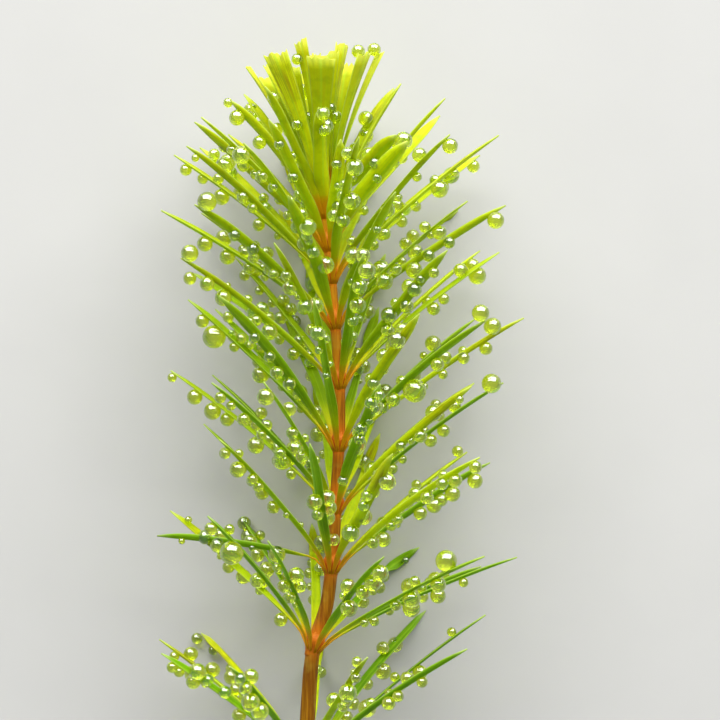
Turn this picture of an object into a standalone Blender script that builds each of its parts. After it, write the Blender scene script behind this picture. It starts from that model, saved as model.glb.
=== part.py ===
"""A cut shoot of hornwort, lying on a table.

The shoot lies along +Y: its cut end is at low Y and its growing tip at high Y. Its leaves grow in whorls
around the stem, and those underneath bend where they meet the table. The origin is on the table, under the
middle of the shoot's outline, and +Z is up. Lengths are in metres, written as so many millimetres.
"""

import math
import random
from collections import namedtuple

import bmesh
import bpy
from mathutils import Matrix, Vector

MM = 0.001
SEED = 7

# The middle of the shoot's outline, which lies over the origin
MIDDLE_ACROSS = 1.2 * MM
MIDDLE_ALONG = 50.3 * MM

# The stem: how high its axis lies above the table, and how thick it is from cut end to tip. It is cut
# between nodes, and is MIDDLE_RADIUS thick at MIDDLE_SHARE of its length.
AXIS_HEIGHT = 14.6 * MM
STEM_TOP = 81.0 * MM
CUT_RADIUS = 1.1 * MM
MIDDLE_RADIUS = 0.75 * MM
TOP_RADIUS = 0.62 * MM
MIDDLE_SHARE = 0.55
STEM_SIDES = 10
LONGEST_PIECE = 3 * MM

# The stem's course: millimetres along it, and how far it leans sideways there
STEM_COURSE = ((0, -3.6), (12, -3.0), (22, -2.2), (28.6, -0.3), (44, 0.9), (56, 1.25), (68, 0.35), (82, -0.8))

# A node is a swollen ring seated in a groove of the stem
NODE_HEIGHT = 1.1 * MM
NODE_SWELLING = 0.35 * MM
GROOVE_DEPTH = 0.3 * MM
GROOVE_LIP = 0.05 * MM
JOINT_GAP = 0.25 * MM
FOOT_WIDENING = 1.4

# Leaves: each is a flat strip that widens from its foot and narrows to its tip
LEAF_THICKNESS = 0.32 * MM
LEAF_STATIONS = (0, 0.17, 0.38, 0.61, 0.83, 1)
FOOT_REACH = 0.5 * MM
FOOT_RISE = 0.35 * MM
OUTWARD_BEND = math.radians(12)
TWIST_REACH = 0.5
TABLE_BEND = 1.2 * MM
FLAT_BEFORE = 0.7

# How far single leaves differ from their whorl
TURN_SPREAD = math.radians(6)
OPENING_SPREAD = math.radians(3)
LENGTH_SPREAD = 0.07
LEAST_TWIST = math.radians(6)
MOST_TWIST = math.radians(42)

# Whorls from the cut end up: millimetres along the stem, leaves, leaf width, and degrees from straight
# right to the first leaf, towards the table. Then degrees from the stem and length, right and left.
Whorl = namedtuple("Whorl", "height leaves width turn right_opening right_length left_opening left_length")
WHORLS = (
    Whorl(8.5, 9, 1.4, 8, 50, 27.5, 58, 23),
    Whorl(23.4, 10, 1.4, 31, 50, 25.5, 62, 23),
    Whorl(33.5, 10, 1.4, 2, 52, 24, 53, 25),
    Whorl(41.3, 10, 1.5, 33, 51, 25, 52, 25.5),
    Whorl(49.4, 10, 1.5, 6, 53, 26, 46, 26),
    Whorl(57.5, 10, 1.5, 29, 52, 25.5, 48, 23.5),
    Whorl(65.3, 10, 1.5, 3, 60, 24.5, 49, 24),
    Whorl(71.2, 10, 1.6, 30, 57, 25.5, 46, 25.5),
    Whorl(75.4, 10, 1.7, -4, 45, 22, 42, 22),
    Whorl(79.7, 9, 1.8, 33, 35, 18.5, 34, 18.5),
)

# Leaves unlike the rest of their whorl, by whorl and number, both from 0: one in the third whorl stands
# almost straight out and four near the crown are short. Degrees from the stem, length and width.
ODD_LEAVES = {
    (2, 5): (89, 20.5, 1.4),
    (8, 8): (36, 14, 1.6),
    (8, 9): (50, 16.5, 2.6),
    (9, 6): (33, 13.5, 2.2),
    (9, 7): (62, 15.5, 1.9),
}

# The crown: a short bud with bands of young leaves, the outermost lowest
BUD_PROFILE = ((0, 0), (0.7, 0), (0.8, 0.4), (0.8, 1.15), (0.72, 1.45), (0.72, 2.2), (0.6, 2.5), (0.6, 3.2),
               (0.35, 3.7), (0, 3.9))
CROWN_COLUMNS = 16
CROWN_TWIST_SHARE = 0.35
Band = namedtuple("Band", "height first_column column_step opening length width")
CROWN_BANDS = (
    Band(0.775, 0, 2, 23, 17.5, 3.1),
    Band(1.825, 1, 2, 14.5, 16, 2.8),
    Band(2.85, 2, 4, 6, 14, 2.4),
)

# The crown leaf of one column is taller and narrower than the rest: degrees, length and width
ODD_CROWN_LEAVES = {11: (14.5, 18.5, 1.4)}

Leaf = namedtuple("Leaf", "origin along out sideways opening length width twist")
Section = namedtuple("Section", "centre across normal half_width half_thickness")


def clear_scene():
    """Remove the objects of a new file."""
    for thing in list(bpy.data.objects):
        bpy.data.objects.remove(thing, do_unlink=True)


def blend(first, second, share):
    """Mix two numbers or vectors."""
    return first + (second - first) * share


def ease(share):
    """Turn a steady rise from 0 to 1 into one with soft ends."""
    share = min(max(share, 0.0), 1.0)
    return share * share * (3 - 2 * share)


def course_slope(index):
    """Slope of the stem's course at one of its points."""
    before = STEM_COURSE[max(index - 1, 0)]
    after = STEM_COURSE[min(index + 1, len(STEM_COURSE) - 1)]
    return (after[1] - before[1]) / (after[0] - before[0])


def stem_point(height):
    """Point on the stem's axis, a smooth curve through its course."""
    place = height / MM
    index = 0
    while index < len(STEM_COURSE) - 2 and STEM_COURSE[index + 1][0] < place:
        index += 1
    start, end = STEM_COURSE[index], STEM_COURSE[index + 1]
    span = end[0] - start[0]
    share = (place - start[0]) / span
    bulge = share * (1 - share) * span
    lean = blend(start[1], end[1], ease(share))
    lean += bulge * ((1 - share) * course_slope(index) - share * course_slope(index + 1))
    return Vector((lean * MM, height, AXIS_HEIGHT))


def stem_frame(height):
    """Directions at a height: to the stem's right, down to the table, and along the stem."""
    step = 0.5 * MM
    along = (stem_point(height + step) - stem_point(height - step)).normalized()
    down = Vector((0, 0, -1))
    return down.cross(along), down, along


def stem_radius(height):
    """Radius of the stem between its nodes."""
    middle = MIDDLE_SHARE * STEM_TOP
    if height < middle:
        return blend(CUT_RADIUS, MIDDLE_RADIUS, height / middle)
    return blend(MIDDLE_RADIUS, TOP_RADIUS, (height - middle) / (STEM_TOP - middle))


def settle(point):
    """Lift a leaf's centre line off the table: returns the point and how far the leaf lies flat."""
    rest = LEAF_THICKNESS / 2
    drop = (TABLE_BEND - point.z) / (2 * TABLE_BEND)
    if drop <= 0:
        height = point.z + rest
    elif drop >= 1:
        height = rest
    else:
        height = rest + TABLE_BEND * (1 - drop) ** 2
    return Vector((point.x, point.y, height)), ease(drop / FLAT_BEFORE)


def leaf_point(leaf, share):
    """Point of a leaf's centre line: an arc in the leaf's own plane through the stem's axis."""
    start = leaf.opening - OUTWARD_BEND / 2
    angle = start + OUTWARD_BEND * share
    radius = leaf.length / OUTWARD_BEND
    reach = radius * (math.cos(start) - math.cos(angle))
    rise = radius * (math.sin(angle) - math.sin(start))
    return settle(leaf.origin + leaf.out * reach + leaf.along * rise)


def leaf_section(leaf, share, widths):
    """Cross-section of a leaf, with its blade turned flat where it lies on the table."""
    step = 0.01
    centre, flat = leaf_point(leaf, share)
    ahead = leaf_point(leaf, share + step)[0] - leaf_point(leaf, share - step)[0]
    direction = ahead.normalized()
    twist = leaf.twist * ease(share / TWIST_REACH)
    free = leaf.sideways * math.cos(twist) + direction.cross(leaf.sideways) * math.sin(twist)
    level = direction.cross(Vector((0, 0, 1))).normalized()
    if level.dot(free) < 0:
        level.negate()
    across = blend(free, level, flat)
    across = (across - direction * across.dot(direction)).normalized()
    half_width = leaf.width * widths(share) / 2
    return Section(centre, across, across.cross(direction), half_width, LEAF_THICKNESS / 2)


def blade_width(share):
    """Share of a leaf's full width: a narrow foot, a long even blade and a pointed tip."""
    foot = blend(0.4, 1, ease(share / 0.3))
    tip = blend(1, 0.25, max((share - 0.75) / 0.25, 0) ** 1.5)
    return foot * tip


def crown_width(share):
    """Share of a crown leaf's full width, which grows towards a blunt tip."""
    return blend(0.2, 1, share ** 1.2)


def grow_leaf(bm, face, leaf, widths):
    """Extrude a face of a node into a leaf, one cross-section after another."""
    old = Section(face.calc_center_median(), leaf.sideways, leaf.along, 0, 0)
    for share in LEAF_STATIONS:
        new = leaf_section(leaf, share, widths)
        face = bmesh.ops.extrude_discrete_faces(bm, faces=[face])["faces"][0]
        for vert in face.verts:
            offset = vert.co - old.centre
            side = math.copysign(new.half_width, offset.dot(old.across))
            lift = math.copysign(new.half_thickness, offset.dot(old.normal))
            vert.co = new.centre + new.across * side + new.normal * lift
        old = new


def spin_profile(bm, points, sides, closed):
    """Turn a profile of radius and height points around +Z into a solid."""
    verts = [bm.verts.new((radius, 0, height)) for radius, height in points]
    pairs = list(zip(verts, verts[1:]))
    if closed:
        pairs.append((verts[-1], verts[0]))
    edges = [bm.edges.new(pair) for pair in pairs]
    bmesh.ops.spin(
        bm, geom=verts + edges, cent=(0, 0, 0), axis=(0, 0, 1), angle=math.tau, steps=sides, use_merge=True
    )
    bmesh.ops.remove_doubles(bm, verts=bm.verts, dist=0.001 * MM)


def face_turn(face):
    """Angle of a face around +Z, from 0 to a full turn."""
    centre = face.calc_center_median()
    return math.atan2(centre.y, centre.x) % math.tau


def band_faces(bm, height, radius):
    """Outer faces of a spun solid around one height, in order around +Z."""
    found = []
    for face in bm.faces:
        centre = face.calc_center_median()
        if abs(centre.z - height) < 0.1 * MM and centre.xy.length > radius:
            found.append(face)
    return sorted(found, key=face_turn)


def widen(face, factor):
    """Widen an upright face around the stem, which narrows its neighbours."""
    centre = face.calc_center_median()
    tangent = Vector((-centre.y, centre.x, 0)).normalized()
    for vert in face.verts:
        vert.co += tangent * (vert.co - centre).dot(tangent) * (factor - 1)


def stand_on_stem(bm, height):
    """Move a solid built around +Z to its place along the stem."""
    matrix = Matrix(stem_frame(height)).transposed().to_4x4()
    matrix.translation = stem_point(height)
    bmesh.ops.transform(bm, matrix=matrix, verts=bm.verts)


def new_leaf(height, foot_radius, turn, opening, length, width, chance):
    """A leaf that starts at a node, at an angle around the stem, with its own small differences."""
    right, down, along = stem_frame(height)
    turn += chance.uniform(-TURN_SPREAD, TURN_SPREAD)
    opening += chance.uniform(-OPENING_SPREAD, OPENING_SPREAD)
    length *= 1 + chance.uniform(-LENGTH_SPREAD, LENGTH_SPREAD)
    twist = chance.uniform(LEAST_TWIST, MOST_TWIST) * chance.choice((-1, 1))
    out = right * math.cos(turn) + down * math.sin(turn)
    origin = stem_point(height) + out * (foot_radius + FOOT_REACH) + along * FOOT_RISE
    return Leaf(origin, along, out, out.cross(along), opening, length, width, twist)


def whorl_leaves(index, whorl):
    """The leaves of one whorl."""
    height = whorl.height * MM
    chance = random.Random(SEED + index)
    leaves = []
    for number in range(whorl.leaves):
        turn = math.radians(whorl.turn) + math.tau * number / whorl.leaves
        leftness = (1 - math.cos(turn)) / 2
        opening = blend(whorl.right_opening, whorl.left_opening, leftness)
        length = blend(whorl.right_length, whorl.left_length, leftness)
        opening, length, width = ODD_LEAVES.get((index, number), (opening, length, whorl.width))
        foot_radius = stem_radius(height) + NODE_SWELLING
        leaves.append(
            new_leaf(height, foot_radius, turn, math.radians(opening), length * MM, width * MM, chance)
        )
    return leaves


def build_whorl(index, whorl):
    """A node of the stem with the leaves that grow from it."""
    height = whorl.height * MM
    outer = stem_radius(height) + NODE_SWELLING
    inner = stem_radius(height) - GROOVE_DEPTH + JOINT_GAP
    half = NODE_HEIGHT / 2
    bm = bmesh.new()
    spin_profile(bm, ((inner, -half), (outer, -half), (outer, half), (inner, half)), 2 * whorl.leaves, True)
    feet = band_faces(bm, 0, (inner + outer) / 2)[::2]
    for foot in feet:
        widen(foot, FOOT_WIDENING)
    turn = math.radians(whorl.turn) - face_turn(feet[0])
    bmesh.ops.rotate(bm, verts=bm.verts, cent=(0, 0, 0), matrix=Matrix.Rotation(turn, 3, "Z"))
    stand_on_stem(bm, height)
    for foot, leaf in zip(feet, whorl_leaves(index, whorl)):
        grow_leaf(bm, foot, leaf, blade_width)
    return bm


def build_crown():
    """The growing tip: a bud with its bands of young leaves."""
    base = STEM_TOP + JOINT_GAP
    chance = random.Random(SEED + len(WHORLS))
    bm = bmesh.new()
    spin_profile(bm, [(radius * MM, height * MM) for radius, height in BUD_PROFILE], CROWN_COLUMNS, False)
    feet = []
    for band in CROWN_BANDS:
        faces = band_faces(bm, band.height * MM, 0)
        for column in range(band.first_column, CROWN_COLUMNS, band.column_step):
            face = faces[column]
            centre = face.calc_center_median()
            usual = (band.opening, band.length, band.width)
            opening, length, width = ODD_CROWN_LEAVES.get(column, usual)
            leaf = new_leaf(
                base + centre.z, centre.xy.length, face_turn(face), math.radians(opening), length * MM,
                width * MM, chance
            )
            feet.append((face, leaf._replace(twist=leaf.twist * CROWN_TWIST_SHARE)))
    stand_on_stem(bm, base)
    for face, leaf in feet:
        grow_leaf(bm, face, leaf, crown_width)
    return bm


def groove_profile():
    """Heights and radii along the stem, with a groove where each node's ring sits."""
    profile = [(0, stem_radius(0))]
    edge = NODE_HEIGHT / 2 + JOINT_GAP
    for whorl in WHORLS:
        height = whorl.height * MM
        radius = stem_radius(height)
        profile.append((height - edge - GROOVE_LIP, radius))
        profile.append((height - edge, radius - GROOVE_DEPTH))
        profile.append((height + edge, radius - GROOVE_DEPTH))
        profile.append((height + edge + GROOVE_LIP, radius))
    profile.append((STEM_TOP, stem_radius(STEM_TOP)))
    return profile


def with_middles(profile):
    """Add points between the nodes, so that the stem bends smoothly."""
    full = [profile[0]]
    for start, end in zip(profile, profile[1:]):
        pieces = max(round((end[0] - start[0]) / LONGEST_PIECE), 1)
        for piece in range(1, pieces + 1):
            share = piece / pieces
            full.append((blend(start[0], end[0], share), blend(start[1], end[1], share)))
    return full


def build_stem():
    """The stem: a round tube along its course, as a curve with a radius at each point."""
    curve = bpy.data.curves.new("stem", "CURVE")
    curve.dimensions = "3D"
    curve.bevel_depth = 1
    curve.bevel_resolution = STEM_SIDES // 2 - 2
    curve.use_fill_caps = True
    profile = with_middles(groove_profile())
    spline = curve.splines.new("POLY")
    spline.points.add(len(profile) - 1)
    for point, (height, radius) in zip(spline.points, profile):
        point.co = (*stem_point(height), 1)
        point.radius = radius
    return curve


def skin(name, colour, roughness):
    """A plain material."""
    material = bpy.data.materials.new(name)
    material.use_nodes = True
    shader = material.node_tree.nodes["Principled BSDF"]
    shader.inputs["Base Color"].default_value = (*colour, 1)
    shader.inputs["Roughness"].default_value = roughness
    return material


def add_piece(name, data, material, parent):
    """Add one named piece of the shoot."""
    data.materials.append(material)
    piece = bpy.data.objects.new(name, data)
    piece.parent = parent
    bpy.context.collection.objects.link(piece)


def mesh_of(bm, name):
    """Turn a finished solid into a mesh with its faces pointing out."""
    bmesh.ops.recalc_face_normals(bm, faces=bm.faces)
    mesh = bpy.data.meshes.new(name)
    bm.to_mesh(mesh)
    bm.free()
    mesh.shade_smooth()
    mesh.set_sharp_from_angle(angle=math.radians(40))
    return mesh


def main():
    """Build the shoot and set its middle over the origin."""
    clear_scene()
    shoot = bpy.data.objects.new("shoot", None)
    shoot.location = (-MIDDLE_ACROSS, -MIDDLE_ALONG, 0)
    bpy.context.collection.objects.link(shoot)
    stem_skin = skin("stem skin", (0.42, 0.16, 0.03), 0.5)
    leaf_skin = skin("leaf skin", (0.22, 0.42, 0.03), 0.4)
    crown_skin = skin("crown skin", (0.38, 0.44, 0.02), 0.4)
    add_piece("stem", build_stem(), stem_skin, shoot)
    for index, whorl in enumerate(WHORLS):
        name = f"whorl_{index + 1:02d}"
        add_piece(name, mesh_of(build_whorl(index, whorl), name), leaf_skin, shoot)
    add_piece("crown", mesh_of(build_crown(), "crown"), crown_skin, shoot)


main()
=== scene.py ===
"""Looks of a cut hornwort shoot on a table: its stem, nodes, leaves, growing tip and gas beads.

The shoot lies along +Y with its growing tip at high Y, and +Z is up. Lengths are in metres.
"""

import math
import random
from collections import namedtuple

import bmesh
import bpy
from mathutils import Matrix, Vector


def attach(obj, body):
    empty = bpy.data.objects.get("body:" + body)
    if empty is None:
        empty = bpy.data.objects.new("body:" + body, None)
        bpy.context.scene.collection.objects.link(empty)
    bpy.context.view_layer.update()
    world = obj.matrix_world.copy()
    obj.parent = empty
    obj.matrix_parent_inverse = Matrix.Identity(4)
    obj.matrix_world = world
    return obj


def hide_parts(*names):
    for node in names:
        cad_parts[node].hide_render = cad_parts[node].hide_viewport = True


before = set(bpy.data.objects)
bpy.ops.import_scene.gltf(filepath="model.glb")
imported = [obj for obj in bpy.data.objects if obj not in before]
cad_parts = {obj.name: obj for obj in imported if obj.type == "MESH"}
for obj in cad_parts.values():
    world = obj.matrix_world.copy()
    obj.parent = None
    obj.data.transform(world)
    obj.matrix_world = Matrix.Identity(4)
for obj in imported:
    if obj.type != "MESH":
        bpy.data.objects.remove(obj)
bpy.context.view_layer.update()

MM = 0.001
SEED = 7

# The shoot: its middle, its rounded length, the height of its axis above the table, and its stem from cut
# end to tip. The course of the axis is millimetres along the shoot and to its right.
MIDDLE_ACROSS = 1.2 * MM
MIDDLE_ALONG = 50.3 * MM
SHOOT_LENGTH = 100 * MM
AXIS_HEIGHT = 14.6 * MM
STEM_TOP = 81.0 * MM
CUT_RADIUS = 1.1 * MM
MIDDLE_RADIUS = 0.75 * MM
TOP_RADIUS = 0.62 * MM
MIDDLE_SHARE = 0.55
STEM_COURSE = (
    (0, -3.6), (12, -3.0), (22, -2.2), (28.6, -0.3), (44, 0.9), (56, 1.25), (68, 0.35), (82, -0.8),
)

# Stem surface: rings along it, sides, and the ridges that run up it, with their height as a share of the
# radius and how far their wave shifts from end to end, in radians
STEM_RINGS = 200
STEM_SIDES = 24
STEM_RIDGES = 7
RIDGE_SHARE = 0.035
RIDGE_SHIFT = 30

# Nodes: how far the swollen part stands out and reaches below and above, its faces along and for each leaf,
# its edge as a share of the stem's radius, the bulge under a leaf, and how far the node's colour spreads.
# The joint gap keeps the bud off the stem.
NODE_SWELLING = 0.35 * MM
NODE_BELOW = 2.2 * MM
NODE_ABOVE = 1.1 * MM
NODE_STEPS = 14
NODE_FACES_A_LEAF = 4
NODE_EDGE = 0.96
NODE_BULGE = 0.04
NODE_SPREAD = 2.2 * MM
JOINT_GAP = 0.25 * MM

# Leaves: thickness of a solid leaf, which sets how high it lies on the table, and of the blade drawn here
LEAF_THICKNESS = 0.32 * MM
BLADE_THICKNESS = 0.22 * MM

# The foot of a leaf: how far outside its node and above it the leaf starts, the share of its length that
# curves back into the node, and how far below and how deep in the stem that curve starts
FOOT_REACH = 0.5 * MM
FOOT_RISE = 0.35 * MM
FOOT_SHARE = 0.06
FOOT_DROP = 1.6 * MM
FOOT_DEPTH = 0.85

# The course of a leaf: how far it bends outward, the share of its length over which it twists, the height
# over which it bends to lie on the table, and the share of that bend after which it is flat
OUTWARD_BEND = math.radians(12)
TWIST_REACH = 0.5
TABLE_BEND = 1.2 * MM
FLAT_BEFORE = 0.7

# How much leaves differ: their angle around the stem and from it, their length as a share, their twist, and
# how strongly twist and angle change a leaf's tone
TURN_SPREAD = math.radians(6)
OPENING_SPREAD = math.radians(3)
LENGTH_SPREAD = 0.07
LEAST_TWIST = math.radians(6)
MOST_TWIST = math.radians(42)
TWIST_TONE = 7.3
TURN_TONE = 2.9

# Blades: faces across and along, closer together near the foot
BLADE_COLUMNS = 4
BLADE_ROWS = 20
ROW_CROWDING = 1.4
CROWN_COLUMNS_ACROSS = 10
CROWN_ROWS = 14

# How deep a blade folds along its midrib, how much that differs and where along the blade the fold is full,
# then how far a blade wavers, over what angle in radians and from where, the depth of the crown's teeth and
# the last row that has them, and the thickness lost at the margins and the least that stays, as shares
FOLD = 0.5
CROWN_FOLD = 0.15
FOLD_SPREAD = (0.5, 1.2)
FOLD_FULL = 0.15
WAVER = 0.2 * MM
WAVER_ANGLE = 5
WAVER_FULL = 0.4
TOOTH = 0.4 * MM
TOOTHED_ROW = 0.99
MARGIN_THINNING = 0.6
LEAST_THICKNESS = 0.3

# Outline of a blade, in shares of its width and length: the foot and where it ends, the neck and where it
# ends, then where the tip starts, how narrow it ends and how late it narrows
FOOT_WIDTH = 0.25
FOOT_END = 0.05
NECK_WIDTH = 0.5
NECK_END = 0.3
TIP_START = 0.75
TIP_WIDTH = 0.08
TIP_LATENESS = 2.2

# Outline of a crown blade: its width at the foot and at the tip, and how late it widens
CROWN_FOOT_WIDTH = 0.22
CROWN_TIP_WIDTH = 1.2
CROWN_LATENESS = 1.2

# Whorls from the cut end up: millimetres along the stem, leaves, leaf width, and degrees from straight
# right to the first leaf, towards the table. Then degrees from the stem and length, right and left.
Whorl = namedtuple("Whorl", "height leaves width turn right_opening right_length left_opening left_length")
WHORLS = (
    Whorl(8.5, 9, 1.4, 8, 50, 27.5, 58, 23),
    Whorl(23.4, 10, 1.4, 31, 50, 25.5, 62, 23),
    Whorl(33.5, 10, 1.4, 2, 52, 24, 53, 25),
    Whorl(41.3, 10, 1.5, 33, 51, 25, 52, 25.5),
    Whorl(49.4, 10, 1.5, 6, 53, 26, 46, 26),
    Whorl(57.5, 10, 1.5, 29, 52, 25.5, 48, 23.5),
    Whorl(65.3, 10, 1.5, 3, 60, 24.5, 49, 24),
    Whorl(71.2, 10, 1.6, 30, 57, 25.5, 46, 25.5),
    Whorl(75.4, 10, 1.7, -4, 45, 22, 42, 22),
    Whorl(79.7, 9, 1.8, 33, 35, 18.5, 34, 18.5),
)

# Leaves unlike the rest of their whorl, by whorl and number, both from 0: one in the third whorl stands
# almost straight out and four near the crown are short. Degrees from the stem, length and width.
ODD_LEAVES = {
    (2, 5): (89, 20.5, 1.4),
    (8, 8): (36, 14, 1.6),
    (8, 9): (50, 16.5, 2.6),
    (9, 6): (33, 13.5, 2.2),
    (9, 7): (62, 15.5, 1.9),
}

# The brightest leaf, beside the crown
BRIGHT_LEAF = (8, 9)

# The crown: a short bud, as radius and height in millimetres, closed at its ends. Bands of young leaves
# stand in columns around it, the outermost lowest, and twist less than other leaves.
BUD_PROFILE = (
    (0, 0), (0.7, 0), (0.8, 0.4), (0.8, 1.15), (0.72, 1.45),
    (0.72, 2.2), (0.6, 2.5), (0.6, 3.2), (0.35, 3.7), (0, 3.9),
)
MERGE_DISTANCE = 0.001 * MM
CROWN_COLUMNS = 16
CROWN_TWIST_SHARE = 0.35
Band = namedtuple("Band", "height radius first_column column_step opening length width")
CROWN_BANDS = (
    Band(0.775, 0.8, 0, 2, 23, 17.5, 3.1),
    Band(1.825, 0.72, 1, 2, 14.5, 16, 2.8),
    Band(2.85, 0.6, 2, 4, 6, 14, 2.4),
)

# The crown leaf of one column is taller and narrower than the rest: degrees, length and width
ODD_CROWN_LEAVES = {11: (14.5, 18.5, 1.4)}

# The view: one pixel at the stem's height, the picture's side in pixels, the column of the stem's
# reference line, the row of the cut end, the lens and film width in millimetres, the nearest distance seen
# and the camera's place
PIXEL = 0.13 * MM
PICTURE = 720
STEM_COLUMN = 330
CUT_END_ROW = 820
LENS = 120
FILM = 36
NEAREST_SEEN = 0.01
EYE = Vector((
    (PICTURE / 2 - STEM_COLUMN) * PIXEL - MIDDLE_ACROSS,
    (CUT_END_ROW - PICTURE / 2) * PIXEL - MIDDLE_ALONG,
    AXIS_HEIGHT + PICTURE * PIXEL * LENS / FILM,
))

# Beads that stand out in the photograph: column, row and radius in pixels
LARGE_BEADS = (
    (377, 42, 7), (355, 45, 7), (298, 61, 6), (319, 86, 6), (222, 94, 5), (235, 121, 8), (407, 138, 9),
    (452, 146, 8), (207, 202, 10), (193, 251, 9), (186, 284, 7), (211, 328, 12), (386, 268, 10),
    (334, 262, 9), (356, 197, 9), (413, 285, 8), (485, 299, 9), (503, 327, 9), (443, 318, 7),
    (485, 393, 10), (416, 391, 12), (193, 401, 8), (374, 405, 9), (172, 377, 5), (433, 440, 7),
    (450, 443, 6), (394, 486, 9), (480, 490, 8), (442, 499, 7), (459, 505, 8), (443, 520, 8),
    (247, 525, 7), (209, 531, 7), (441, 551, 11), (238, 555, 12), (316, 553, 10), (437, 596, 8),
    (413, 583, 6), (191, 628, 6), (453, 631, 5), (426, 686, 6), (241, 679, 6), (161, 687, 6), (175, 676, 6),
)

# The other beads: the fewest and most on a leaf, fewer on the two whorls under the crown and in the crown
BEADS_A_LEAF = (7, 13)
TOP_BEADS_A_LEAF = (2, 5)
TOP_WHORLS = 2
CROWN_BEADS_A_LEAF = (0, 2)

# Their radii in millimetres with the share of each size, how far along a leaf they start, end and are
# densest, how far off its middle they slide, and the share that sits on its outer side
BEAD_SIZES = ((0.42, 0.65), (0.65, 0.95), (0.95, 1.2))
BEAD_SHARES = (0.15, 0.6, 0.25)
BEAD_PLACES = (0.12, 1.0, 0.55)
BEAD_SLIDE = 0.9
OUTER_SHARE = 0.75

# How far the centre of a bead stands off its leaf, as a share of its radius, and off the centre of another
# bead, as a share of both radii, then the radius above which a bead has finer faces
BEAD_SEAT = 0.9
BEAD_SPACING = 0.92
FINE_BEAD = 0.95 * MM

# How a large bead finds its leaf: places tried along a leaf, the first of them, how many pixels nearer a
# leaf counts for each millimetre that it stands higher, and the offset below which the bead sits on top
SEARCH_PLACES = 40
FIRST_PLACE = 8
HIGHER_LEAF_GAIN = 0.15
LEAST_OFFSET = 0.2 * MM

# The light: its place, aim and size in metres, its power in watts and its colour, then the room's colour
# and strength
LIGHT_PLACE = (0.07, 0.95, 0.56)
LIGHT_AIM = (0, 0, 0.01)
LIGHT_SIZE = (2.1, 1.1)
LIGHT_POWER = 60
LIGHT_COLOUR = (1, 0.99, 0.96)
ROOM_COLOUR = (0.8, 0.83, 0.86)
ROOM_STRENGTH = 0.33

# The table: its side in metres, how far it lies below the leaves' flat ends, its colours and its surface
TABLE_SIDE = 3.0
TABLE_DROP = 0.02 * MM
TABLE_GREY = (0.43, 0.43, 0.425)
TABLE_PALE = (0.46, 0.46, 0.455)
MOTTLE_SCALE = 60
TABLE_ROUGHNESS = 0.85
TABLE_SHINE = 0.1

# Colours of the leaves
DEEP_GREEN = (0.07, 0.24, 0.008)
CELL_GREEN = (0.12, 0.25, 0.01)
MIDRIB = (0.50, 0.72, 0.03)
MARGIN = (0.48, 0.62, 0.10)
YELLOW_FOOT = (0.72, 0.64, 0.006)
ORANGE_FOOT = (0.84, 0.30, 0.006)
BROWN_PATCH = (0.32, 0.11, 0.008)
PALE_TIP = (0.45, 0.52, 0.20)
LIGHT_THROUGH = (0.60, 0.90, 0.01)

# Colours of the leaves along the shoot, from its cut end to its crown, then of the brightest leaves and of
# the veins, and how much the tips pale. Then the same for the crown.
LEAF_STOPS = (
    (0, (0.09, 0.28, 0.002)), (0.3, (0.15, 0.38, 0.001)), (0.6, (0.32, 0.49, 0.001)),
    (0.85, (0.58, 0.58, 0.001)),
)
LEAF_WARM = (0.84, 0.88, 0.004)
LEAF_VEIN = (0.46, 0.68, 0.01)
LEAF_TIPS = 0.6
CROWN_STOPS = ((0.8, (0.36, 0.56, 0.003)), (0.9, (0.52, 0.62, 0.002)), (1, (0.62, 0.60, 0.004)))
CROWN_WARM = (0.80, 0.84, 0.006)
CROWN_VEIN = (0.58, 0.46, 0.008)
CROWN_TIPS = 0.25

# Where each colour of a leaf shows: the value where it starts, the value where it is full, and how strong it
# is there. The value is the leaf's tone, the way up the shoot, a pattern, or the way across or along a leaf.
WARM_TONES = (0.45, 1)
DEEP_TONES = (0.5, 0, 0.5)
DEEP_HEIGHTS = (0.85, 0.5)
VEIN_LINES = (0.42, 0.62, 0.4)
CELL_SPOTS = (0.45, 0.7, 0.25)
MIDRIB_WIDTH = (0.16, 0.02, 0.5)
MARGIN_WIDTH = (0.84, 1, 0.5)
YELLOW_FOOT_LENGTH = (0.3, 0.04, 0.8)
ORANGE_FOOT_LENGTH = (0.1, 0.03, 0.85)
PATCH_LENGTHS = (0.55, 0.8)
PATCH_LINES = (0.48, 0.62)
PATCHED_TONES = (0.55, 0.8, 0.8)
UNPATCHED_TONES = (0.99, 0.95)
PALE_TIP_LENGTH = (0.9, 1)

# Patterns on the leaves and their surface: how fine the veins are across and along, how fine the cells are,
# the relief of the veins, and how much light passes through
VEIN_SCALES = (26, 2.2, 1)
CELL_SCALE = 900
VEIN_RELIEF = 0.04 * MM
LEAF_ROUGHNESS = 0.45
LEAF_SHINE = 0.15
TRANSLUCENCE = 0.4

# Colours of the stem, from the cut end to the crown, then of its streaks, blotches and nodes, and where each
# of these shows, as on the leaves
STEM_STOPS = (
    (0, (0.13, 0.05, 0.001)), (0.25, (0.17, 0.055, 0.001)), (0.45, (0.22, 0.065, 0.001)),
    (0.66, (0.33, 0.12, 0.001)), (0.76, (0.42, 0.24, 0.002)), (0.84, (0.34, 0.29, 0.003)),
)
PALE_STREAK = (0.42, 0.20, 0.006)
DARK_STREAK = (0.12, 0.035, 0.001)
STEM_BLOTCH = (0.40, 0.28, 0.03)
NODE_ORANGE = (0.56, 0.13, 0.005)
PALE_LINES = (0.4, 0.65, 0.4)
DARK_LINES = (0.5, 0.3, 0.7)
BLOTCHES = (0.5, 0.7, 0.3)
NODE_CLOSENESS = (0, 1, 0.55)

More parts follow.
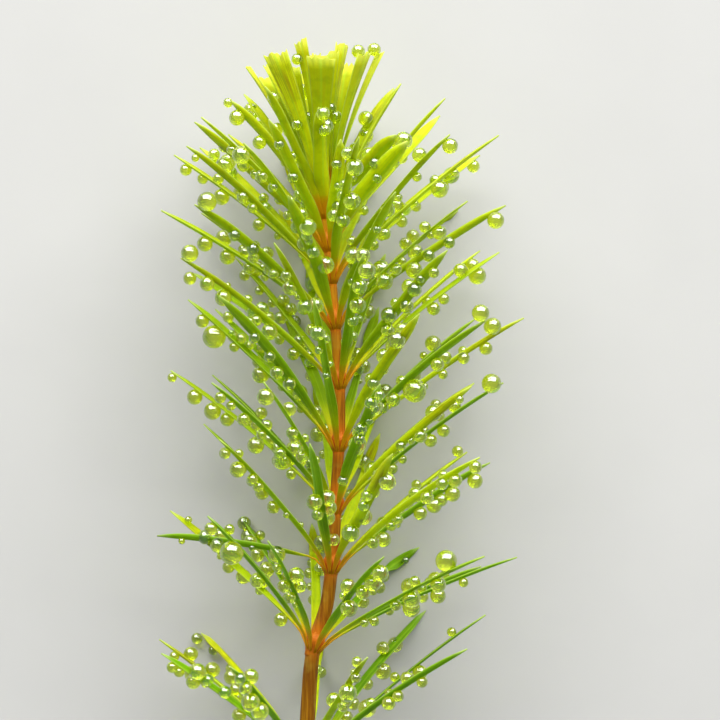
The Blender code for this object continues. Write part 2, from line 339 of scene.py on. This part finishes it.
# Patterns on the stem and its surface: how fine the streaks are across and along, how large the blotches
# are, and the relief of the streaks
STREAK_SCALES = (3200, 160, 3200)
BLOTCH_SCALE = 420
STREAK_RELIEF = 0.06 * MM
STEM_ROUGHNESS = 0.5
STEM_SHINE = 0.12

# The strength of every relief, as a share
RELIEF_STRENGTH = 0.5

# Beads: colours of light bent by a bead and of light that passes straight through, both a yellow-green tint
# that is painted refraction of the green surroundings, the share of that light, and how a bead bends light
# inside and shines outside
BEAD_PAINTED_REFRACTION_GREEN = (0.70, 0.84, 0.01)
BEAD_CLEAR_PAINTED_TINT = (0.86, 0.97, 0.20)
BEAD_CLEARNESS = 0.2
BEAD_IOR = 1.4
BEAD_COAT_IOR = 2.3
BEAD_ROUGHNESS = 0.02

Leaf = namedtuple("Leaf", "foot origin along out sideways opening length width twist tone")
Bead = namedtuple("Bead", "centre radius")


def blend(first, second, share):
    """Mix two numbers or vectors."""
    return first + (second - first) * share


def ease(share):
    """Turn a steady rise from 0 to 1 into one with soft ends."""
    share = min(max(share, 0.0), 1.0)
    return share * share * (3 - 2 * share)


def course_slope(index):
    """Slope of the stem's course at one of its points."""
    before = STEM_COURSE[max(index - 1, 0)]
    after = STEM_COURSE[min(index + 1, len(STEM_COURSE) - 1)]
    return (after[1] - before[1]) / (after[0] - before[0])


def stem_point(height):
    """Point on the stem's axis, a smooth curve through its course."""
    place = height / MM
    index = 0
    while index < len(STEM_COURSE) - 2 and STEM_COURSE[index + 1][0] < place:
        index += 1
    start, end = STEM_COURSE[index], STEM_COURSE[index + 1]
    span = end[0] - start[0]
    share = (place - start[0]) / span
    bulge = share * (1 - share) * span
    lean = blend(start[1], end[1], ease(share))
    lean += bulge * ((1 - share) * course_slope(index) - share * course_slope(index + 1))
    return Vector((lean * MM - MIDDLE_ACROSS, height - MIDDLE_ALONG, AXIS_HEIGHT))


def stem_frame(height):
    """Directions at a height: to the stem's right, down to the table, and along the stem."""
    step = 0.5 * MM
    along = (stem_point(height + step) - stem_point(height - step)).normalized()
    down = Vector((0, 0, -1))
    return down.cross(along), down, along


def stem_radius(height):
    """Radius of the stem between its nodes."""
    middle = MIDDLE_SHARE * STEM_TOP
    if height < middle:
        return blend(CUT_RADIUS, MIDDLE_RADIUS, height / middle)
    return blend(MIDDLE_RADIUS, TOP_RADIUS, (height - middle) / (STEM_TOP - middle))


def settle(point):
    """Lift a leaf's centre line off the table: returns the point and how far the leaf lies flat."""
    rest = LEAF_THICKNESS / 2
    drop = (TABLE_BEND - point.z) / (2 * TABLE_BEND)
    if drop <= 0:
        height = point.z + rest
    elif drop >= 1:
        height = rest
    else:
        height = rest + TABLE_BEND * (1 - drop) ** 2
    return Vector((point.x, point.y, height)), ease(drop / FLAT_BEFORE)


def leaf_point(leaf, share):
    """Point of a leaf's centre line: an arc in the leaf's own plane through the stem's axis."""
    start = leaf.opening - OUTWARD_BEND / 2
    angle = start + OUTWARD_BEND * share
    radius = leaf.length / OUTWARD_BEND
    reach = radius * (math.cos(start) - math.cos(angle))
    rise = radius * (math.sin(angle) - math.sin(start))
    return settle(leaf.origin + leaf.out * reach + leaf.along * rise)


def centre_line(leaf, share):
    """The same line carried back into the stem, so that the leaf grows out of its node."""
    if share >= FOOT_SHARE:
        return leaf_point(leaf, share)
    end, flat = leaf_point(leaf, FOOT_SHARE)
    part = share / FOOT_SHARE
    first = blend(leaf.foot, leaf.origin, part)
    second = blend(leaf.origin, end, part)
    return blend(first, second, part), flat


def blade_frame(leaf, share):
    """Centre of a blade, its width direction, its upper side, its direction and how far it lies flat."""
    step = 0.01
    centre, flat = centre_line(leaf, share)
    ahead = centre_line(leaf, share + step)[0] - centre_line(leaf, max(share - step, 0))[0]
    direction = ahead.normalized()
    twist = leaf.twist * ease(share / TWIST_REACH)
    free = leaf.sideways * math.cos(twist) + direction.cross(leaf.sideways) * math.sin(twist)
    level = direction.cross(Vector((0, 0, 1))).normalized()
    if level.dot(free) < 0:
        level.negate()
    across = blend(free, level, flat)
    across = (across - direction * across.dot(direction)).normalized()
    return centre, across, across.cross(direction), direction, flat


def new_leaf(height, foot_radius, turn, opening, length, width, chance):
    """A leaf that starts at a node, at an angle around the stem, with its own small differences."""
    right, down, along = stem_frame(height)
    turn += chance.uniform(-TURN_SPREAD, TURN_SPREAD)
    opening += chance.uniform(-OPENING_SPREAD, OPENING_SPREAD)
    length *= 1 + chance.uniform(-LENGTH_SPREAD, LENGTH_SPREAD)
    twist = chance.uniform(LEAST_TWIST, MOST_TWIST) * chance.choice((-1, 1))
    out = right * math.cos(turn) + down * math.sin(turn)
    centre = stem_point(height)
    origin = centre + out * (foot_radius + FOOT_REACH) + along * FOOT_RISE
    foot = stem_point(height - FOOT_DROP) + out * (foot_radius - NODE_SWELLING) * FOOT_DEPTH
    tone = math.fsum((twist * TWIST_TONE, turn * TURN_TONE, length / MM)) % 1
    return Leaf(foot, origin, along, out, out.cross(along), opening, length, width, twist, tone)


def whorl_leaves(index, whorl):
    """The leaves of one whorl."""
    height = whorl.height * MM
    chance = random.Random(SEED + index)
    foot_radius = stem_radius(height) + NODE_SWELLING
    leaves = []
    for number in range(whorl.leaves):
        turn = math.radians(whorl.turn) + math.tau * number / whorl.leaves
        leftness = (1 - math.cos(turn)) / 2
        opening = blend(whorl.right_opening, whorl.left_opening, leftness)
        length = blend(whorl.right_length, whorl.left_length, leftness)
        opening, length, width = ODD_LEAVES.get((index, number), (opening, length, whorl.width))
        leaf = new_leaf(height, foot_radius, turn, math.radians(opening), length * MM, width * MM, chance)
        if (index, number) == BRIGHT_LEAF:
            leaf = leaf._replace(tone=1)
        leaves.append(leaf)
    return leaves


def crown_leaves():
    """The young leaves of the crown, band by band from the bud's base."""
    base = STEM_TOP + JOINT_GAP
    chance = random.Random(SEED + len(WHORLS))
    column = math.tau / CROWN_COLUMNS
    leaves = []
    for band in CROWN_BANDS:
        radius = band.radius * MM * math.cos(column / 2)
        for number in range(band.first_column, CROWN_COLUMNS, band.column_step):
            usual = (band.opening, band.length, band.width)
            opening, length, width = ODD_CROWN_LEAVES.get(number, usual)
            turn = column * (number + 0.5)
            height = base + band.height * MM
            leaf = new_leaf(height, radius, turn, math.radians(opening), length * MM, width * MM, chance)
            leaves.append(leaf._replace(twist=leaf.twist * CROWN_TWIST_SHARE))
    return leaves


def blade_width(share):
    """Share of a leaf's full width: a narrow foot, a long even blade and a pointed tip."""
    foot = blend(FOOT_WIDTH, NECK_WIDTH, ease(share / FOOT_END))
    foot += blend(0, 1 - NECK_WIDTH, ease(share / NECK_END))
    tip = blend(1, TIP_WIDTH, max((share - TIP_START) / (1 - TIP_START), 0) ** TIP_LATENESS)
    return foot * tip


def crown_width(share):
    """Share of a crown leaf's full width, which grows towards a blunt tip."""
    return blend(CROWN_FOOT_WIDTH, CROWN_TIP_WIDTH, share ** CROWN_LATENESS)


def grow_blade(bm, leaf, columns, rows, widths, fold, tooth, chance):
    """One leaf as a grid, bent along its centre line, folded along its midrib and toothed at its end."""
    sheet = bmesh.ops.create_grid(bm, x_segments=columns, y_segments=rows, size=0.5)["verts"]
    places = {vert: (vert.co.x + 0.5, vert.co.y + 0.5) for vert in sheet}
    uv = bm.loops.layers.uv["blade"]
    tone = bm.verts.layers.float["tone"]
    weight = bm.verts.layers.deform.verify()
    phase = chance.uniform(0, math.tau)
    depth = fold * chance.uniform(*FOLD_SPREAD)
    for vert, (side, row) in places.items():
        share = row ** ROW_CROWDING
        centre, across, normal, direction, flat = blade_frame(leaf, share)
        lean = 2 * side - 1
        half = leaf.width * widths(share) / 2
        free = (1 - flat) * ease(share / FOLD_FULL)
        rise = depth * half * (abs(lean) - 0.5) * free
        waver = WAVER * math.sin(phase + WAVER_ANGLE * share) * free * ease(share / WAVER_FULL)
        point = centre + across * (lean * half + waver) + normal * rise
        if share > TOOTHED_ROW:
            point += direction * (tooth * chance.uniform(-1, 1))
        vert.co = point
        vert[tone] = leaf.tone
        vert[weight][0] = 1 - MARGIN_THINNING * lean * lean
    for face in {face for vert in sheet for face in vert.link_faces}:
        for loop in face.loops:
            side, row = places[loop.vert]
            loop[uv].uv = (side, row ** ROW_CROWDING)


def leaves_mesh(leaves, columns, rows, widths, fold, tooth, seed):
    """All the blades of one node, as one mesh."""
    bm = bmesh.new()
    bm.loops.layers.uv.new("blade")
    bm.verts.layers.float.new("tone")
    bm.verts.layers.deform.verify()
    chance = random.Random(seed)
    for leaf in leaves:
        grow_blade(bm, leaf, columns, rows, widths, fold, tooth, chance)
    return bm


def node_closeness(height):
    """How near a height is to a node: 1 at the node, 0 away from it."""
    distance = min(abs(height - whorl.height * MM) for whorl in WHORLS)
    return math.exp(-((distance / NODE_SPREAD) ** 2))


def stem_surface():
    """The stem: a capped tube along its course, ridged lengthwise."""
    bm = bmesh.new()
    node = bm.verts.layers.float.new("node")
    bmesh.ops.create_cone(
        bm, cap_ends=True, segments=STEM_SIDES, radius1=1, radius2=1, depth=1,
        matrix=Matrix.Translation((0, 0, 0.5))
    )
    upright = [edge for edge in bm.edges if abs(edge.verts[0].co.z - edge.verts[1].co.z) > 0.5]
    bmesh.ops.subdivide_edges(bm, edges=upright, cuts=STEM_RINGS, use_grid_fill=True)
    for vert in bm.verts:
        height = vert.co.z * STEM_TOP
        around = math.atan2(vert.co.y, vert.co.x)
        right, down, _ = stem_frame(height)
        ridge = RIDGE_SHARE * math.cos(STEM_RIDGES * around + RIDGE_SHIFT * vert.co.z)
        radius = stem_radius(height) * (1 + ridge)
        vert.co = stem_point(height) + (right * math.cos(around) + down * math.sin(around)) * radius
        vert[node] = node_closeness(height)
    bmesh.ops.recalc_face_normals(bm, faces=bm.faces)
    return bm


def node_surface(whorl):
    """The swollen ring of one node, with a slight bulge under each leaf."""
    bm = bmesh.new()
    node = bm.verts.layers.float.new("node")
    height = whorl.height * MM
    radius = stem_radius(height)
    profile = []
    for step in range(NODE_STEPS + 1):
        place = 2 * step / NODE_STEPS - 1
        swelling = NODE_SWELLING * (0.5 + 0.5 * math.cos(place * math.pi))
        rise = place * (NODE_BELOW if place < 0 else NODE_ABOVE)
        profile.append(bm.verts.new((radius * NODE_EDGE + swelling, 0, rise)))
    edges = [bm.edges.new(pair) for pair in zip(profile, profile[1:])]
    bmesh.ops.spin(
        bm, geom=profile + edges, cent=(0, 0, 0), axis=(0, 0, 1), angle=math.tau,
        steps=NODE_FACES_A_LEAF * whorl.leaves, use_merge=True
    )
    bmesh.ops.holes_fill(bm, edges=[edge for edge in bm.edges if edge.is_boundary])
    bmesh.ops.recalc_face_normals(bm, faces=bm.faces)
    right, down, along = stem_frame(height)
    for vert in bm.verts:
        rise = vert.co.z
        around = math.atan2(vert.co.y, vert.co.x)
        bulge = math.cos(whorl.leaves * (around - math.radians(whorl.turn)))
        reach = vert.co.xy.length * (1 + NODE_BULGE * bulge * (1 - (rise / NODE_BELOW) ** 2))
        out = right * math.cos(around) + down * math.sin(around)
        vert.co = stem_point(height) + out * reach + along * rise
        vert[node] = 1
    return bm


def bud_surface():
    """The bud at the growing tip."""
    bm = bmesh.new()
    base = STEM_TOP + JOINT_GAP
    verts = [bm.verts.new((radius * MM, 0, height * MM)) for radius, height in BUD_PROFILE]
    edges = [bm.edges.new(pair) for pair in zip(verts, verts[1:])]
    bmesh.ops.spin(
        bm, geom=verts + edges, cent=(0, 0, 0), axis=(0, 0, 1), angle=math.tau, steps=CROWN_COLUMNS,
        use_merge=True
    )
    bmesh.ops.remove_doubles(bm, verts=bm.verts, dist=MERGE_DISTANCE)
    bmesh.ops.recalc_face_normals(bm, faces=bm.faces)
    matrix = Matrix(stem_frame(base)).transposed().to_4x4()
    matrix.translation = stem_point(base)
    bmesh.ops.transform(bm, matrix=matrix, verts=bm.verts)
    return bm


def to_pixels(point):
    """Where the camera sees a point, in pixels of the picture."""
    scale = PICTURE * LENS / FILM / (EYE.z - point.z)
    return PICTURE / 2 + (point.x - EYE.x) * scale, PICTURE / 2 - (point.y - EYE.y) * scale


def from_pixels(column, row, level):
    """The point at a height above the table that the camera sees at a pixel."""
    scale = (EYE.z - level) * FILM / LENS / PICTURE
    return Vector((EYE.x + (column - PICTURE / 2) * scale, EYE.y + (PICTURE / 2 - row) * scale, level))


def large_bead(column, row, size, leaves):
    """A bead seen at a pixel, on the leaf that passes nearest: returns the leaf's number and the bead."""
    least = math.inf
    for number, leaf in enumerate(leaves):
        for step in range(FIRST_PLACE, SEARCH_PLACES + 1):
            place = centre_line(leaf, step / SEARCH_PLACES)[0]
            miss = abs(math.dist(to_pixels(place), (column, row)) - size)
            miss -= place.z / MM * HIGHER_LEAF_GAIN
            if miss < least:
                least = miss
                nearest = number
                share = step / SEARCH_PLACES
    centre, _, _, direction, _ = blade_frame(leaves[nearest], share)
    radius = size * PIXEL * (EYE.z - centre.z) / (EYE.z - AXIS_HEIGHT)
    away = from_pixels(column, row, centre.z) - centre
    away -= direction * away.dot(direction)
    if away.length < LEAST_OFFSET:
        away = Vector((0, 0, 1))
    seat = centre + away.normalized() * (BEAD_SEAT * radius + BLADE_THICKNESS / 2)
    seat.z = max(seat.z, radius)
    return nearest, Bead(seat, radius)


def has_room(bead, others):
    """Whether a bead stays clear of the others and of the table."""
    if bead.centre.z < bead.radius:
        return False
    for other in others:
        if (bead.centre - other.centre).length < BEAD_SPACING * (bead.radius + other.radius):
            return False
    return True


def small_beads(leaf, least, most, taken, chance):
    """Beads strung along one leaf, most of them on its outer side."""
    beads = []
    for _ in range(chance.randint(least, most)):
        share = chance.triangular(*BEAD_PLACES)
        radius = chance.uniform(*chance.choices(BEAD_SIZES, BEAD_SHARES)[0]) * MM
        side = -1 if chance.random() < OUTER_SHARE else 1
        slide = chance.uniform(-BEAD_SLIDE, BEAD_SLIDE)
        centre, across, normal, _, _ = blade_frame(leaf, share)
        away = (normal * side + across * slide).normalized()
        bead = Bead(centre + away * (BEAD_SEAT * radius + BLADE_THICKNESS / 2), radius)
        if has_room(bead, taken):
            taken.append(bead)
            beads.append(bead)
    return beads


def beads_mesh(beads):
    """A group of beads as one mesh."""
    bm = bmesh.new()
    for bead in beads:
        fineness = 3 if bead.radius > FINE_BEAD else 2
        bmesh.ops.create_icosphere(
            bm, subdivisions=fineness, radius=bead.radius, matrix=Matrix.Translation(bead.centre)
        )
    return bm


def add_piece(name, bm, material, slot, *replaced):
    """Add one named piece that rides with the shoot."""
    mesh = bpy.data.meshes.new(name)
    bm.to_mesh(mesh)
    bm.free()
    mesh.shade_smooth()
    mesh.materials.append(material)
    piece = bpy.data.objects.new(name, mesh)
    bpy.context.collection.objects.link(piece)
    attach(piece, "root")
    if replaced:
        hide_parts(*replaced)
    return piece


def thicken(piece):
    """Give a sheet of blades its thickness, thinner towards the margins."""
    piece.vertex_groups.new(name="thick")
    solid = piece.modifiers.new("thickness", "SOLIDIFY")
    solid.thickness = BLADE_THICKNESS
    solid.offset = 0
    solid.vertex_group = "thick"
    solid.thickness_vertex_group = LEAST_THICKNESS


def new_material(name):
    """A material with a Principled shader: returns the material, its node tree and the shader."""
    material = bpy.data.materials.new(name)
    material.use_nodes = True
    tree = material.node_tree
    return material, tree, tree.nodes["Principled BSDF"]


def feed(tree, socket, source):
    """Set a socket to a number or colour, or link another socket to it."""
    if isinstance(source, bpy.types.NodeSocket):
        tree.links.new(source, socket)
    else:
        socket.default_value = source


def maths(tree, operation, *sources):
    """A maths node: returns its result."""
    node = tree.nodes.new("ShaderNodeMath")
    node.operation = operation
    for socket, source in zip(node.inputs, sources):
        feed(tree, socket, source)
    return node.outputs[0]


def step_up(tree, value, low, high, top=1.0):
    """Soft step from 0 where the value is low to top where it is high."""
    node = tree.nodes.new("ShaderNodeMapRange")
    node.interpolation_type = "SMOOTHSTEP"
    feed(tree, node.inputs["Value"], value)
    node.inputs["From Min"].default_value = low
    node.inputs["From Max"].default_value = high
    node.inputs["To Max"].default_value = top
    return node.outputs["Result"]


def mixed(tree, share, first, second):
    """A mix of two colours."""
    node = tree.nodes.new("ShaderNodeMix")
    node.data_type = "RGBA"
    feed(tree, node.inputs[0], share)
    for socket, colour in zip((node.inputs[6], node.inputs[7]), (first, second)):
        feed(tree, socket, (*colour, 1) if isinstance(colour, tuple) else colour)
    return node.outputs[2]


def ramp(tree, value, stops):
    """A colour ramp of places and colours."""
    node = tree.nodes.new("ShaderNodeValToRGB")
    feed(tree, node.inputs[0], value)
    points = node.color_ramp.elements
    while len(points) < len(stops):
        points.new(0.5)
    for point, (place, colour) in zip(points, stops):
        point.position = place
        point.color = (*colour, 1)
    return node.outputs[0]


def noise(tree, vector, scale, detail):
    """A noise texture: returns its value."""
    node = tree.nodes.new("ShaderNodeTexNoise")
    feed(tree, node.inputs["Vector"], vector)
    node.inputs["Scale"].default_value = scale
    node.inputs["Detail"].default_value = detail
    return node.outputs[0]


def stretched(tree, vector, scales):
    """A vector with each of its parts scaled."""
    node = tree.nodes.new("ShaderNodeMapping")
    feed(tree, node.inputs["Vector"], vector)
    node.inputs["Scale"].default_value = scales
    return node.outputs[0]


def bump(tree, height, distance):
    """A bump from a height."""
    node = tree.nodes.new("ShaderNodeBump")
    feed(tree, node.inputs["Height"], height)
    node.inputs["Strength"].default_value = RELIEF_STRENGTH
    node.inputs["Distance"].default_value = distance
    return node.outputs[0]


def attribute(tree, name):
    """A value stored on the mesh."""
    node = tree.nodes.new("ShaderNodeAttribute")
    node.attribute_name = name
    return node.outputs["Fac"]


def parts(tree, vector):
    """The three parts of a vector."""
    node = tree.nodes.new("ShaderNodeSeparateXYZ")
    feed(tree, node.inputs[0], vector)
    return node.outputs


def object_place(tree):
    """Position in the object's own frame."""
    return tree.nodes.new("ShaderNodeTexCoord").outputs["Object"]


def along_shoot(tree):
    """Share of the way from the cut end to the top of the crown."""
    return maths(tree, "MULTIPLY_ADD", parts(tree, object_place(tree))[1], 1 / SHOOT_LENGTH, 0.5)


def leaf_material(name, stops, warm, vein, tips):
    """Thin tissue with veins, a pale midrib, margins and tip, an orange foot and a few brown patches."""
    material, tree, shader = new_material(name)
    uv = tree.nodes.new("ShaderNodeUVMap")
    uv.uv_map = "blade"
    side, share = parts(tree, uv.outputs[0])[:2]
    tone = attribute(tree, "tone")
    lean = maths(tree, "ABSOLUTE", maths(tree, "MULTIPLY_ADD", side, 2, -1))
    veins = noise(tree, stretched(tree, uv.outputs[0], VEIN_SCALES), 1, 3)
    cells = noise(tree, object_place(tree), CELL_SCALE, 3)
    along = along_shoot(tree)
    colour = ramp(tree, along, stops)
    colour = mixed(tree, step_up(tree, tone, *WARM_TONES), colour, warm)
    deep = maths(tree, "MULTIPLY", step_up(tree, tone, *DEEP_TONES), step_up(tree, along, *DEEP_HEIGHTS))
    colour = mixed(tree, deep, colour, DEEP_GREEN)
    colour = mixed(tree, step_up(tree, veins, *VEIN_LINES), colour, vein)
    colour = mixed(tree, step_up(tree, cells, *CELL_SPOTS), colour, CELL_GREEN)
    colour = mixed(tree, step_up(tree, lean, *MIDRIB_WIDTH), colour, MIDRIB)
    colour = mixed(tree, step_up(tree, lean, *MARGIN_WIDTH), colour, MARGIN)
    colour = mixed(tree, step_up(tree, share, *YELLOW_FOOT_LENGTH), colour, YELLOW_FOOT)
    colour = mixed(tree, step_up(tree, share, *ORANGE_FOOT_LENGTH), colour, ORANGE_FOOT)
    patch = step_up(tree, share, *PATCH_LENGTHS)
    patch = maths(tree, "MULTIPLY", patch, step_up(tree, veins, *PATCH_LINES))
    patch = maths(tree, "MULTIPLY", patch, step_up(tree, tone, *PATCHED_TONES))
    patch = maths(tree, "MULTIPLY", patch, step_up(tree, tone, *UNPATCHED_TONES))
    colour = mixed(tree, patch, colour, BROWN_PATCH)
    colour = mixed(tree, step_up(tree, share, *PALE_TIP_LENGTH, tips), colour, PALE_TIP)
    tree.links.new(colour, shader.inputs["Base Color"])
    shader.inputs["Roughness"].default_value = LEAF_ROUGHNESS
    shader.inputs["Specular IOR Level"].default_value = LEAF_SHINE
    tree.links.new(bump(tree, veins, VEIN_RELIEF), shader.inputs["Normal"])
    glow = tree.nodes.new("ShaderNodeBsdfTranslucent")
    tree.links.new(mixed(tree, 0.5, colour, LIGHT_THROUGH), glow.inputs["Color"])
    mix = tree.nodes.new("ShaderNodeMixShader")
    mix.inputs[0].default_value = TRANSLUCENCE
    tree.links.new(shader.outputs[0], mix.inputs[1])
    tree.links.new(glow.outputs[0], mix.inputs[2])
    tree.links.new(mix.outputs[0], tree.nodes["Material Output"].inputs["Surface"])
    return material


def stem_material():
    """Orange-brown skin, streaked lengthwise, brighter at the nodes and olive under the crown."""
    material, tree, shader = new_material("stem skin")
    place = object_place(tree)
    streaks = noise(tree, stretched(tree, place, STREAK_SCALES), 1, 3)
    blotches = noise(tree, place, BLOTCH_SCALE, 2)
    colour = ramp(tree, along_shoot(tree), STEM_STOPS)
    colour = mixed(tree, step_up(tree, streaks, *PALE_LINES), colour, PALE_STREAK)
    colour = mixed(tree, step_up(tree, streaks, *DARK_LINES), colour, DARK_STREAK)
    colour = mixed(tree, step_up(tree, blotches, *BLOTCHES), colour, STEM_BLOTCH)
    colour = mixed(tree, step_up(tree, attribute(tree, "node"), *NODE_CLOSENESS), colour, NODE_ORANGE)
    tree.links.new(colour, shader.inputs["Base Color"])
    shader.inputs["Roughness"].default_value = STEM_ROUGHNESS
    shader.inputs["Specular IOR Level"].default_value = STEM_SHINE
    tree.links.new(bump(tree, streaks, STREAK_RELIEF), shader.inputs["Normal"])
    return material


def bead_material():
    """Clear and glossy, tinted yellow-green as painted refraction of the green surroundings. Part of the
    light passes straight through.
    """
    material, tree, shader = new_material("gas bead")
    # The yellow-green tint of the bent and straight-through light is painted refraction of the green
    # surroundings
    shader.inputs["Base Color"].default_value = (*BEAD_PAINTED_REFRACTION_GREEN, 1)
    shader.inputs["Roughness"].default_value = BEAD_ROUGHNESS
    shader.inputs["IOR"].default_value = BEAD_IOR
    shader.inputs["Transmission Weight"].default_value = 1
    shader.inputs["Coat Weight"].default_value = 1
    shader.inputs["Coat Roughness"].default_value = BEAD_ROUGHNESS
    shader.inputs["Coat IOR"].default_value = BEAD_COAT_IOR
    clear = tree.nodes.new("ShaderNodeBsdfTransparent")
    clear.inputs["Color"].default_value = (*BEAD_CLEAR_PAINTED_TINT, 1)
    mix = tree.nodes.new("ShaderNodeMixShader")
    mix.inputs[0].default_value = BEAD_CLEARNESS
    tree.links.new(shader.outputs[0], mix.inputs[1])
    tree.links.new(clear.outputs[0], mix.inputs[2])
    tree.links.new(mix.outputs[0], tree.nodes["Material Output"].inputs["Surface"])
    return material


def table_material():
    """Pale, matt and faintly mottled."""
    material, tree, shader = new_material("pale table")
    mottle = noise(tree, object_place(tree), MOTTLE_SCALE, 4)
    colour = mixed(tree, mottle, TABLE_GREY, TABLE_PALE)
    tree.links.new(colour, shader.inputs["Base Color"])
    shader.inputs["Roughness"].default_value = TABLE_ROUGHNESS
    shader.inputs["Specular IOR Level"].default_value = TABLE_SHINE
    return material


def add_table():
    """The pale table top."""
    bm = bmesh.new()
    below = Matrix.Translation((0, 0, -TABLE_DROP))
    bmesh.ops.create_grid(bm, x_segments=2, y_segments=2, size=TABLE_SIDE / 2, matrix=below)
    mesh = bpy.data.meshes.new("table")
    bm.to_mesh(mesh)
    bm.free()
    mesh.materials.append(table_material())
    table = bpy.data.objects.new("table", mesh)
    bpy.context.collection.objects.link(table)


def add_light():
    """A broad soft light from beyond the crown, aimed at the shoot."""
    data = bpy.data.lights.new("window", "AREA")
    data.shape = "RECTANGLE"
    data.size, data.size_y = LIGHT_SIZE
    data.energy = LIGHT_POWER
    data.color = LIGHT_COLOUR
    light = bpy.data.objects.new("window", data)
    light.location = LIGHT_PLACE
    light.rotation_euler = (Vector(LIGHT_AIM) - Vector(LIGHT_PLACE)).to_track_quat("-Z", "Y").to_euler()
    bpy.context.collection.objects.link(light)


def add_room():
    """An even pale room that fills the shadows."""
    world = bpy.data.worlds.new("room")
    world.use_nodes = True
    background = world.node_tree.nodes["Background"]
    background.inputs["Color"].default_value = (*ROOM_COLOUR, 1)
    background.inputs["Strength"].default_value = ROOM_STRENGTH
    bpy.context.scene.world = world


def add_camera():
    """The camera looks straight down, with the growing tip at the top of the picture."""
    data = bpy.data.cameras.new("camera")
    data.lens = LENS
    data.sensor_width = FILM
    data.clip_start = NEAREST_SEEN
    camera = bpy.data.objects.new("camera", data)
    camera.location = EYE
    bpy.context.collection.objects.link(camera)
    bpy.context.scene.camera = camera
    bpy.context.scene.view_settings.view_transform = "Standard"


def add_beads(whorls, crown, material):
    """The beads of every whorl and of the crown."""
    leaves = [leaf for group in whorls for leaf in group] + crown
    owners = [index for index, group in enumerate(whorls) for _ in group] + [len(whorls)] * len(crown)
    groups = [[] for _ in range(len(whorls) + 1)]
    taken = []
    for column, row, size in LARGE_BEADS:
        number, bead = large_bead(column, row, size, leaves)
        groups[owners[number]].append(bead)
        taken.append(bead)
    chance = random.Random(SEED)
    for owner, leaf in zip(owners, leaves):
        if owner == len(whorls):
            count = CROWN_BEADS_A_LEAF
        elif owner >= len(whorls) - TOP_WHORLS:
            count = TOP_BEADS_A_LEAF
        else:
            count = BEADS_A_LEAF
        groups[owner] += small_beads(leaf, *count, taken, chance)
    for index, beads in enumerate(groups):
        add_piece(f"beads_{index + 1:02d}", beads_mesh(beads), material, "bead")


def main():
    """Dress the shoot and set up the table, light and camera."""
    stem_skin = stem_material()
    leaf_skin = leaf_material("leaf blade", LEAF_STOPS, LEAF_WARM, LEAF_VEIN, LEAF_TIPS)
    crown_skin = leaf_material("crown blade", CROWN_STOPS, CROWN_WARM, CROWN_VEIN, CROWN_TIPS)
    add_piece("stem_surface", stem_surface(), stem_skin, "stem", "stem")
    whorls = [whorl_leaves(index, whorl) for index, whorl in enumerate(WHORLS)]
    for index, (whorl, leaves) in enumerate(zip(WHORLS, whorls)):
        node = f"whorl_{index + 1:02d}"
        bm = leaves_mesh(leaves, BLADE_COLUMNS, BLADE_ROWS, blade_width, FOLD, 0, SEED + index)
        thicken(add_piece(f"{node}_leaves", bm, leaf_skin, "leaf", node))
        add_piece(f"{node}_ring", node_surface(whorl), stem_skin, "stem", node)
    crown = crown_leaves()
    bm = leaves_mesh(crown, CROWN_COLUMNS_ACROSS, CROWN_ROWS, crown_width, CROWN_FOLD, TOOTH, SEED)
    thicken(add_piece("crown_leaves", bm, crown_skin, "crown_leaf", "crown"))
    add_piece("crown_bud", bud_surface(), crown_skin, "crown_leaf", "crown")
    add_beads(whorls, crown, bead_material())
    add_table()
    add_light()
    add_room()
    add_camera()


main()
